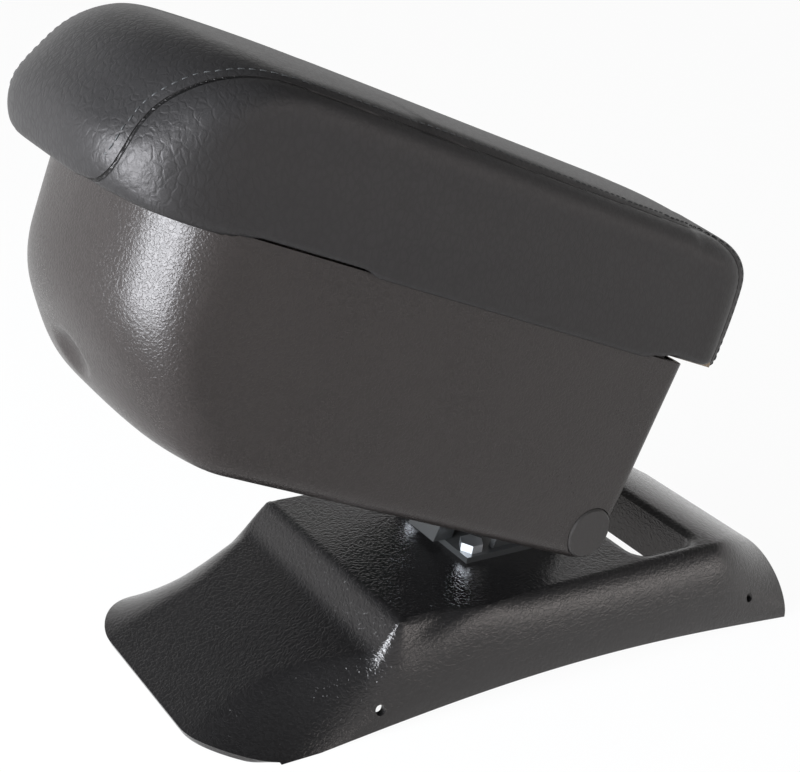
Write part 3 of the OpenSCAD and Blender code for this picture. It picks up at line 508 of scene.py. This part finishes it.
points, normals = coords(lid.data), coords(lid.data, True)
u, v = pitched_back(points[:, 0] * 1000 - PIVOT_X, points[:, 2] * 1000 - PIVOT_Z)
y = points[:, 1] * 1000
signed = seam_distance(u, v, *pitched_back(normals[:, 0], normals[:, 2]))
side = np.clip((np.abs(y) - SEAM_END) / 3, 0, 1)
away = np.abs(signed) + (1 - side) * 40 + np.clip(86.5 - v, 0, 1) * 40
valley = VALLEY * np.exp(-(away / 2.4) ** 2)
swell = SWELL * np.exp(-((away - 9) / 6) ** 2) * np.clip((v - 90) / 15, 0, 1)
points = points + normals * ((swell - valley) / 1000)[:, None]
past_box = np.clip((depth(BOX_PLAN, u, y) - 0.1) / 1.2, 0, 1) * np.clip((2 - u) / 10, 0, 1)
droop = LIP * past_box * np.clip((100 - v) / 13, 0, 1)
points = points - (arm(0, 0, 1.0) - arm(0, 0, 0.0)) * droop[:, None]
lid.data.vertices.foreach_set("co", points.astype(np.float32).ravel())
for name, value in (("seam", away / 1000), ("pull", np.exp(-(np.maximum(u + 262, 0) / 42) ** 2))):
    store = lid.data.attributes.new(name, "FLOAT", "POINT")
    store.data.foreach_set("value", value.astype(np.float32))
lid.data.update()
print("seam pressed in, deepest", round(float(valley.max()), 2), "mm")

# %% [markdown]
# ## The stitches
# A row of topstitching runs beside each seam on the centre panel. Each stitch is a short thread
# that dips into the cover at both of its ends. The row's path is found on the cover: from the seam's
# own line, small steps outwards in the side view are measured along the surface until they add up
# to the row's distance. All stitches are one array of rings, so none is made by hand.

# %% Topstitch rows
def on_cover(u, v):
    """Half width y of the cover at a point of the side view, by 30 halvings between 0 and 70."""
    near, far = np.zeros_like(u), np.full_like(u, 70.0)
    for _ in range(30):
        mid = (near + far) / 2
        inside = lid_form(u, mid, v) < 0
        near, far = np.where(inside, mid, near), np.where(inside, far, mid)
    return near


def stitch_row(offset, pitch, length):
    """Starts, ends, centres and outward normals of the stitches on a line offset mm outside the seam."""
    corner_points = 60
    line = rounded(SEAM_LINE, corner_points)
    line = np.concatenate([line[2 * corner_points - 1:], line[:1]])
    far = np.concatenate([[0], np.cumsum(np.hypot(*np.diff(line, axis=0).T))])
    s = np.arange(0, far[-1], 0.5)
    line = np.stack([np.interp(s, far, line[:, 0]), np.interp(s, far, line[:, 1])], 1)
    run = np.gradient(line, axis=0)
    out = np.stack([run[:, 1], -run[:, 0]], 1) / np.linalg.norm(run, axis=1)[:, None]
    steps = np.linspace(0, offset, 13)
    u = line[:, 0, None] + out[:, 0, None] * steps
    v = line[:, 1, None] + out[:, 1, None] * steps
    y = on_cover(u, v)
    stride = np.sqrt(np.diff(u, axis=1) ** 2 + np.diff(v, axis=1) ** 2 + np.diff(y, axis=1) ** 2)
    way = np.cumsum(stride, axis=1)
    pick = np.argmin(np.abs(way - offset), axis=1) + 1
    rows = np.arange(len(s))
    path = np.stack([u[rows, pick], y[rows, pick], v[rows, pick]], 1)
    keep = (path[:, 1] > SEAM_END) & (path[:, 2] > 87)
    path = path[keep]
    for _ in range(12):
        path[1:-1] = (path[:-2] + 2 * path[1:-1] + path[2:]) / 4
    along = np.concatenate([[0], np.cumsum(np.linalg.norm(np.diff(path, axis=0), axis=1))])
    centre = np.arange(pitch / 2, along[-1] - pitch / 2, pitch)
    start, end, middle = (np.stack([np.interp(centre + shift, along, path[:, i]) for i in range(3)], 1)
                          for shift in (-length / 2, length / 2, 0))
    e = 0.4
    slope = np.stack([lid_form(middle[:, 0] + a, middle[:, 1] + b, middle[:, 2] + c)
                      - lid_form(middle[:, 0] - a, middle[:, 1] - b, middle[:, 2] - c)
                      for a, b, c in ((e, 0, 0), (0, e, 0), (0, 0, e))], 1)
    return start, end, middle, slope / np.linalg.norm(slope, axis=1)[:, None]


def stitches(name, side, offset=4.0, pitch=3.7, length=2.9, thick=0.3):
    """Rings round each stitch: radius = thick sqrt(1 - t^6), at 0.36 (1 - t^4) - 0.24 mm above the cover."""
    start, end, middle, normal = stitch_row(offset, pitch, length)
    t = np.array([-1, -0.88, -0.6, 0, 0.6, 0.88, 1.0])
    turn = np.linspace(0, 2 * np.pi, 8, endpoint=False)
    run = (end - start) / np.linalg.norm(end - start, axis=1)[:, None]
    across = np.cross(run, normal)
    centre = middle[:, None] + run[:, None] * (t * length / 2)[None, :, None]
    centre = centre + normal[:, None] * (0.36 * (1 - t ** 4) - 0.24)[None, :, None]
    radius = thick * np.sqrt(np.maximum(1 - t ** 6, 0.02))
    ring = (across[:, None, None] * np.cos(turn)[None, None, :, None]
            + normal[:, None, None] * np.sin(turn)[None, None, :, None])
    p = (centre[:, :, None] + ring * radius[None, :, None, None]).reshape(-1, 3)
    count, rings, around = len(start), len(t), len(turn)
    first = (np.arange(count) * rings * around)[:, None, None]
    i, j = np.meshgrid(np.arange(rings - 1), np.arange(around), indexing="ij")
    a = first + (i * around + j)[None]
    b = first + (i * around + (j + 1) % around)[None]
    faces = np.stack([a, b, b + around, a + around], -1).reshape(-1, 4)
    made = piece(name, arm(p[:, 0], side * p[:, 1], p[:, 2]), faces, "thread", 60)
    mesh = bmesh.new()
    mesh.from_mesh(made.data)
    bmesh.ops.holes_fill(mesh, edges=mesh.edges, sides=around)
    bmesh.ops.recalc_face_normals(mesh, faces=mesh.faces)
    mesh.to_mesh(made.data)
    mesh.free()
    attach(made, "lid")
    print(name, count, "stitches")


stitches("topstitch_left", 1)
stitches("topstitch_right", -1)
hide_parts("cover_centre", "cover_side_left", "cover_side_right", "lid_foam")
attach(lid, "lid")

# %% [markdown]
# ## The storage box
# The box is one moulded shell with an open top. Its outside is wrapped from its outlines like the
# lid, with the finger scoop taken out of the form, and its inside is the same form set in by the
# wall. The two skins are closed along the rim. What is bored or cut on the real box, the seats of
# the pivot caps, the shaft's bore and the mouth for the bracket, is cut from that closed shell, and
# the bosses that carry the bushes are added to it.

# %% Shells with a wall
def walled(outer, inner, quads):
    """Outer and inner skins on one grid, and a strip between their open edges."""
    n = len(outer)
    sides = np.stack([quads, np.roll(quads, -1, 1)], -1).reshape(-1, 2)
    key = np.sort(sides, axis=1)
    _, back, count = np.unique(key[:, 0] * n + key[:, 1], return_inverse=True, return_counts=True)
    a, b = sides[count[back.ravel()] == 1].T
    rim = np.stack([b, a, a + n, b + n], 1)
    return np.concatenate([outer, inner]), np.concatenate([quads, quads[:, ::-1] + n, rim])


def bar(radius, low, high, u=0.0, v=0.0, sides=96):
    """Cylinder along Y about (u, v): a circle of the radius at two values of y, with closed ends."""
    turn = np.linspace(0, 2 * np.pi, sides, endpoint=False)
    ring = np.stack([u + radius * np.cos(turn), 0 * turn, v + radius * np.sin(turn)], 1)
    points = np.concatenate([ring + [0, low, 0], ring + [0, high, 0]])
    k = np.arange(sides)
    strip = np.stack([k, k + sides, (k + 1) % sides + sides, (k + 1) % sides], 1).tolist()
    return points, strip + [k.tolist(), (k + sides)[::-1].tolist()]


def slab(u0, u1, y0, y1, v0, v1):
    """Box between two corners."""
    x, y, z = np.meshgrid([u0, u1], [y0, y1], [v0, v1], indexing="ij")
    faces = [[0, 1, 3, 2], [4, 6, 7, 5], [0, 4, 5, 1], [2, 3, 7, 6], [0, 2, 6, 4], [1, 5, 7, 3]]
    return np.stack([x.ravel(), y.ravel(), z.ravel()], 1), faces


def carve(obj, tools, operation, to_frame):
    """Adds or takes away closed forms one by one, and leaves no modifier."""
    for points, faces in tools:
        mesh = bpy.data.meshes.new("tool")
        mesh.from_pydata(to_frame(*np.asarray(points, float).T).tolist(), [], [list(f) for f in faces])
        tool = bpy.data.objects.new("tool", mesh)
        bpy.context.scene.collection.objects.link(tool)
        cut = obj.modifiers.new("cut", "BOOLEAN")
        cut.operation, cut.object, cut.solver = operation, tool, "MANIFOLD"
        settle(obj)
        bpy.data.objects.remove(tool)
    obj.data.shade_smooth()
    obj.data.set_sharp_from_angle(angle=math.radians(32))


# %% [markdown]
# ## The form of the box
# The side outline carries the curved front and the flat rear, and the floor is tilted, so the end
# outline is measured square to it. A dome about u = -148 rounds the front between the two sides.

# %% Box form
BOX_SIDE = planes(rounded([[-231, -1.5, 50], [14.5, -16.3, 15.5], [14.5, 124.7, 0.01],
                           [-264.8, 124.7, 0.01], [-261, 40, 60]], 20))
BOX_NOSE = planes(rounded([[-40, -30, 0.01], [66, -30, 0.01], [111, 36, 60], [119.2, 124.7, 0.01],
                           [-40, 124.7, 0.01]], 20))
BOX_ACROSS = planes(rounded([[-62, 0, 9], [62, 0, 9], [62, 200, 0.01], [-62, 200, 0.01]]))
FLOOR_TILT = math.atan2(14.8, 245.5)
BOX_WALL, RIM = 3.0, 84.7


def scoop(u, y, v):
    """Barrel across the front at u = -249, v = 7: radius sqrt(30.1^2 - y^2) - 15.1, closed at y = 19."""
    radius = np.sqrt(np.maximum(30.1 ** 2 - y * y, 0)) - 15.1
    return joined(np.hypot(u + 249, v - 7) - radius, np.abs(y) - 19, 4)


def box_form(u, y, v, wall=0.0):
    """Rounded maximum of side, plan, tilted end outline and front dome, less the scoop."""
    across = depth(BOX_ACROSS, y, (u - 14.5) * math.sin(FLOOR_TILT) + (v + 16.3) * math.cos(FLOOR_TILT))
    nose = np.minimum(depth(BOX_NOSE, np.hypot(u + 148, y), v), -148 - u)
    shape = joined(joined(depth(BOX_SIDE, u, v), depth(BOX_PLAN, u, y), 6), across, 2)
    return joined(joined(shape, nose, 9) + wall, wall - scoop(u, y, v), 1.6)


grid, quads = crate((-275, -66, -26), (22, 66, RIM), 2.5, top=False)
core = ((-222, -30, 24), (-16, 30, RIM))
outer = pulled(box_form, grid, *core)
inner = pulled(lambda u, y, v: box_form(u, y, v, BOX_WALL), grid, *core)
points, faces = walled(outer, inner, quads)
box = piece("box_skin", arm(*points.T), faces, "box_plastic")
bosses = [bar(10.05, 32.8, 60.6), bar(10.05, -60.6, -32.8), bar(12.5, 45.4, 60.6), bar(12.5, -60.6, -45.4)]
webs = [slab(-5, 5, 33, 60.6, 0, 19.5), slab(-5, 5, -60.6, -33, 0, 19.5)]
carve(box, bosses + webs, "UNION", arm)
shaft_bore = [bar(7.05, -70, 70)]
cap_seats = [bar(12.4, 59.4, 70), bar(12.4, -70, -59.4), bar(10, 48.4, 70), bar(10, -70, -48.4)]
bracket_mouth = [bar(17, -30.9, 30.9), slab(-17, 60, -30.9, 30.9, -60, 0), slab(0, 60, -30.9, 30.9, -0.01, 16)]
carve(box, shaft_bore + cap_seats + bracket_mouth, "DIFFERENCE", arm)
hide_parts("box_shell")
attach(box, "arm")
print("box skin:", len(box.data.polygons), "faces")

# %% [markdown]
# ## The base plate
# The base is one sheet of plastic that straddles the console. Along its length it climbs as an
# apron, steps up to a raised platform and falls away to the rear; across it, a level middle bends
# over a shoulder into an upright flange. Each cross section is a level line and a Bezier curve, and
# both are functions of the distance along the base, so the whole skin is one grid. The raised
# platform is joined to it with a rounded maximum, and the pocket, with a rounded lip, is cut last.

# %% Base form
SHEET_WALL = 3


def ease(t):
    """Smooth step 3 t^2 - 2 t^3 between 0 and 1."""
    t = np.clip(t, 0, 1)
    return t * t * (3 - 2 * t)


def spine(x):
    """Height of the middle: bent apron, then a slow climb under the platform, then the fall to the rear."""
    t = (x + 183) / 76
    apron = 3.2 + 27.8 * (1.4 * t - 0.4 * t * t)
    climb = 31 + 15 * ease((x + 109) / 66)
    rear = 46 - 36 * ease((x - 90) / 106)
    return np.where(x < -107, apron, np.where(x < 0, climb, rear))


def section(x, t):
    """Point of the side curve at t from the level middle (0) to the flange's foot (1), cubic Bezier."""
    a = 57 - 22 * ease((-88 - x) / 60) - 19 * ease((x - 90) / 53)
    b = 68.5 + 4.5 * ease((x + 183) / 326)
    h = spine(x)
    e = 9.5 * np.cos(np.radians(90 * np.clip((x - 5) / 141, -1, 1)))
    steep = ease((x + 183) / 110)
    w = ((1 - t) ** 3, 3 * t * (1 - t) ** 2, 3 * t * t * (1 - t), t ** 3)
    out_first = a + (b - a) * (0.28 + 0.26 * steep)
    out_second = b - (b - a) * 0.23 * (1 - steep)
    down_second = e + (h - e) * (0.29 + 0.06 * steep)
    y = w[0] * a + w[1] * out_first + w[2] * out_second + w[3] * b
    z = (w[0] + w[1]) * h + w[2] * down_second + w[3] * e
    return y, z, a


def platform(x, y):
    """Raised platform: 46 less 1.5 (sqrt(d^2 + 4) - 2), d = way past its front, or 1.6 x that past a side."""
    dx, dy = np.maximum(-94 - x, 0), 1.6 * np.maximum(np.abs(y) - 55.5, 0)
    return 46 - 1.5 * (np.sqrt(dx * dx + dy * dy + 4) - 2)


flank, middle = 26, 61
t = np.concatenate([np.linspace(1, 0, flank + 1)[:-1], np.zeros(middle), np.linspace(0, 1, flank + 1)[1:]])
level = np.concatenate([np.full(flank, -1.0), np.linspace(-1, 1, middle), np.full(flank, 1.0)])
nominal_y, _, nominal_a = section(np.full(len(t), -148.0), t)
nominal = np.abs(np.where(t > 0, nominal_y, level * nominal_a))
over = np.maximum(0, nominal - 33.5)
front = -148 - np.sqrt(np.maximum(0, 35 ** 2 - np.minimum(over, 34.4) ** 2))
steps = np.linspace(-183, 143, 176)[:, None]
x = np.where(steps < -107, front + (steps + 183) * (-107 - front) / 76, steps + 0 * front)
y, z, a = section(x, t[None] + 0 * x)
y = np.where(t > 0, y * np.sign(level), level * a)
lift = 4 * ease((np.abs(y) - 40) / 18) * ease((x + 108) / 14) * ease((-30 - x) / 40)
body = z + lift * (1 - t) ** 2 * (1 + 2 * t)
raised = joined(body, platform(x, y), 4)
share = 1 - ease((t[None] - 0.42) / 0.3)
z = np.minimum(body + (raised - body) * share * (x < 20), np.maximum(46, z))
px, py = np.maximum(np.abs(x - 65.5) - 11.5, 0), np.maximum(np.abs(y) - 44.5, 0)
outside = np.hypot(px, py) - 8
z = z - 2.2 * np.clip(1 - outside / 4.5, 0, 1) ** 2
sheet = np.stack([x, y, np.maximum(z, 0)], -1)
run, side = np.gradient(sheet, axis=0), np.gradient(sheet, axis=1)
up = np.cross(run, side)
up /= np.linalg.norm(up, axis=-1)[..., None]
under = sheet - up * SHEET_WALL
under[..., 2] = np.maximum(under[..., 2], 0)
rows, columns = x.shape
k = np.arange(rows * columns).reshape(rows, columns)
quads = np.stack([k[:-1, :-1], k[1:, :-1], k[1:, 1:], k[:-1, 1:]], -1).reshape(-1, 4)
print("base grid", rows, "by", columns)


def base_frame(x, y, z):
    """Base coordinates in mm from the pivot to the shared frame in m."""
    return np.stack([(x + PIVOT_X) / 1000, y / 1000, z / 1000], -1)


points, faces = walled(sheet.reshape(-1, 3), under.reshape(-1, 3), quads)
base = piece("base_skin", base_frame(*points.T), faces, "base_plastic")
lip = rounded([[43, -55.5, 11], [88, -55.5, 11], [88, 55.5, 11], [43, 55.5, 11]])
hole = rounded([[46, -52.5, 8], [85, -52.5, 8], [85, 52.5, 8], [46, 52.5, 8]])


def prism(outline, low, high):
    """Outline in plan carried from one height to another, closed at both ends."""
    n = len(outline)
    points = np.concatenate([np.column_stack([outline, np.full(n, h)]) for h in (low, high)])
    k = np.arange(n)
    strip = np.stack([k, (k + 1) % n, (k + 1) % n + n, k + n], 1).tolist()
    return points, strip + [k[::-1].tolist(), (k + n).tolist()]


def post(x, y, radius, low, high):
    """Upright cylinder."""
    turn = np.linspace(0, 2 * np.pi, 32, endpoint=False)
    return prism(np.stack([x + radius * np.cos(turn), y + radius * np.sin(turn)], 1), low, high)


carve(base, [prism(lip, 20.6, 43.2)], "UNION", base_frame)
screw_holes = [bar(2.3, low, low + 56, x, z, 40) for low in (34, -90) for x, z in ((-107, 11.5), (114, 17))]
bolt_holes = [post(x, s * y, 3.1, 36, 60) for x, y in ((-32, 21), (23, 15)) for s in (1, -1)]
carve(base, [prism(hole, 15, 60)] + screw_holes + bolt_holes, "DIFFERENCE", base_frame)
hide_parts("base_plate")
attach(base, "base")
print("base skin:", len(base.data.polygons), "faces")

# %% [markdown]
# ## The finishes of the construction's own pieces
# Brackets, fasteners, bushes and the tray already have their right shape. Each gets the finish that
# its material's name asks for.

# %% Dress the construction
for name, node in nodes.items():
    finish = finishes.get(slot_of.get(name), finishes["tray_plastic"])
    node.data.materials.clear()
    node.data.materials.append(finish)
print("dressed", len(nodes), "pieces")

# %% [markdown]
# ## Floor, lights and background
# The photograph was taken on white in soft light: a wide bluish light stands at the left and makes
# the long highlight on the front of the box, and a weak warm one stands on the near side. The
# floor is plain and pale. The camera, reflections and clear materials see floor and background as
# white, and the rest of the light on the object is low and even. Reflections from high up are dim,
# as over the photographer's table.

# %% Floor
SEEN_BY = ("Is Camera Ray", "Is Glossy Ray", "Is Transmission Ray")
SEEN_WHITE = 0.95
fl = Finish("floor white", Roughness=0.9, Base_Color=(0.8, 0.8, 0.8, 1))
finishes["floor"] = fl.material
plane = np.array([[-3, -3, 0], [3, -3, 0], [3, 3, 0], [-3, 3, 0]], float)
ground = piece("floor", plane, [[0, 1, 2, 3]], "floor")
white = fl.node("ShaderNodeEmission", inputs={"Color": (1, 1, 1, 1), "Strength": 1.0})
rays = [fl.node("ShaderNodeLightPath", out=kind) for kind in SEEN_BY]
share = (rays[0] + rays[1] + rays[2]) * SEEN_WHITE
blend = fl.tree.nodes.new("ShaderNodeMixShader")
for index, socket in enumerate((share.socket, fl.shader.outputs[0], white.socket)):
    fl.tree.links.new(socket, blend.inputs[index])
fl.tree.links.new(blend.outputs[0], fl.tree.nodes["Material Output"].inputs[0])
print("floor laid")

# %% Lights
LOOK_AT = (0.0, 0.0, 0.12)


def softbox(name, at, size, power, tint):
    """Rectangular area light at a place, facing the object."""
    data = bpy.data.lights.new(name, "AREA")
    data.shape = "RECTANGLE"
    data.size, data.size_y = size
    data.energy = power
    data.color = tint
    lamp = bpy.data.objects.new(name, data)
    bpy.context.scene.collection.objects.link(lamp)
    lamp.location = at
    lamp.rotation_mode = "QUATERNION"
    lamp.rotation_quaternion = (Vector(LOOK_AT) - Vector(at)).to_track_quat("-Z", "Y")


softbox("left light", (-1.20, -0.27, 0.38), (0.85, 0.60), 58, (0.86, 0.93, 1.0))
softbox("near light", (0.95, -1.25, 0.30), (0.9, 0.3), 3, (1.0, 0.97, 0.95))
world = bpy.data.worlds.new("studio")
bpy.context.scene.world = world
world.use_nodes = True
sky = world.node_tree
lit = sky.nodes["Background"]
lit.inputs["Color"].default_value = (1, 1, 1, 1)
path = sky.nodes.new("ShaderNodeLightPath")
seen = path.outputs[SEEN_BY[0]]
for kind in SEEN_BY[1:]:
    greater = sky.nodes.new("ShaderNodeMath")
    greater.operation = "MAXIMUM"
    sky.links.new(seen, greater.inputs[0])
    sky.links.new(path.outputs[kind], greater.inputs[1])
    seen = greater.outputs[0]
aim = sky.nodes.new("ShaderNodeTexCoord")
split = sky.nodes.new("ShaderNodeSeparateXYZ")
sky.links.new(aim.outputs["Generated"], split.inputs[0])
band = sky.nodes.new("ShaderNodeMapRange")
for socket, value in (("From Min", 0.25), ("From Max", 0.65), ("To Min", 1.0), ("To Max", 0.12)):
    band.inputs[socket].default_value = value
sky.links.new(split.outputs["Z"], band.inputs["Value"])
level = sky.nodes.new("ShaderNodeMapRange")
level.inputs["To Min"].default_value = 0.35
sky.links.new(seen, level.inputs["Value"])
sky.links.new(band.outputs[0], level.inputs["To Max"])
sky.links.new(level.outputs[0], lit.inputs["Strength"])
bpy.context.scene.view_settings.view_transform = "Standard"
print("lights set")
